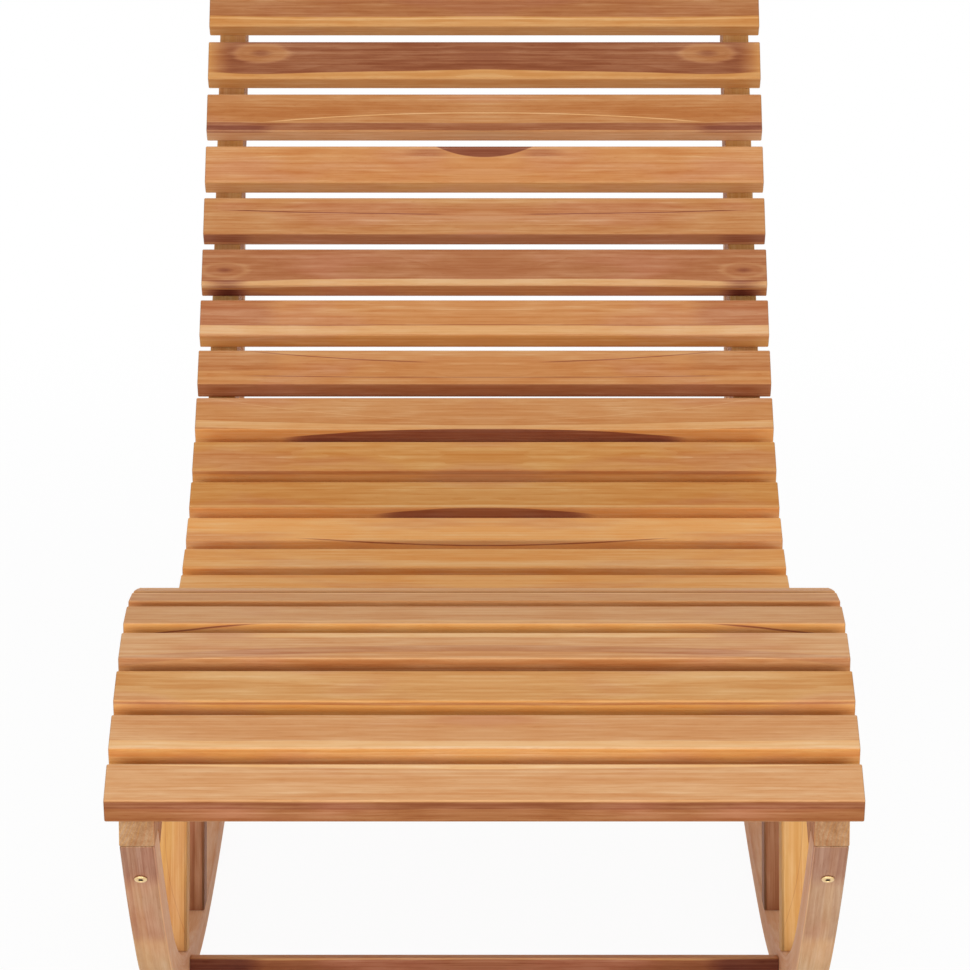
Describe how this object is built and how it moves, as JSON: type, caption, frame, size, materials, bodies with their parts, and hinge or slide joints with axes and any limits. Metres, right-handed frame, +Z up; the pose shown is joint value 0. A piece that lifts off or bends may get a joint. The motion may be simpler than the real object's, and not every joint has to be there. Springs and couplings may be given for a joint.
{
  "type": "rocking chaise lounge",
  "caption": "Slatted hardwood chaise lounge with S-shaped side rails on two bent runners, so that the whole lounger rocks on the floor.",
  "frame": {"origin": "on the floor, under the middle of the lounger's bounding box", "axes": "+Z up; +Y from the foot end towards the head end, so the foot end faces -Y; +X across the lounger, to the right of someone looking along +Y"},
  "size_m": [0.6, 1.7924, 0.7606],
  "materials": {
    "slat_wood": "smooth planed, oiled, matt",
    "frame_wood": "smooth planed, oiled, matt",
    "brass": "satin"
  },
  "bodies": {
    "root": {"slat_01": "slat_wood", "slat_02": "slat_wood", "slat_03": "slat_wood", "slat_04": "slat_wood", "slat_05": "slat_wood", "slat_06": "slat_wood", "slat_07": "slat_wood", "slat_08": "slat_wood", "slat_09": "slat_wood", "slat_10": "slat_wood", "slat_11": "slat_wood", "slat_12": "slat_wood", "slat_13": "slat_wood", "slat_14": "slat_wood", "slat_15": "slat_wood", "slat_16": "slat_wood", "slat_17": "slat_wood", "slat_18": "slat_wood", "slat_19": "slat_wood", "slat_20": "slat_wood", "slat_21": "slat_wood", "slat_22": "slat_wood", "slat_23": "slat_wood", "slat_24": "slat_wood", "slat_25": "slat_wood", "slat_26": "slat_wood", "slat_27": "slat_wood", "slat_28": "slat_wood", "slat_29": "slat_wood", "slat_30": "slat_wood", "side_rail_left": "frame_wood", "runner_left": "frame_wood", "front_post_left": "frame_wood", "middle_post_left": "frame_wood", "rear_post_left": "frame_wood", "front_bolt_left": "brass", "rear_bolt_left": "brass", "side_rail_right": "frame_wood", "runner_right": "frame_wood", "front_post_right": "frame_wood", "middle_post_right": "frame_wood", "rear_post_right": "frame_wood", "front_bolt_right": "brass", "rear_bolt_right": "brass", "front_stretcher": "frame_wood", "rear_stretcher": "frame_wood"}
  },
  "joints": []
}
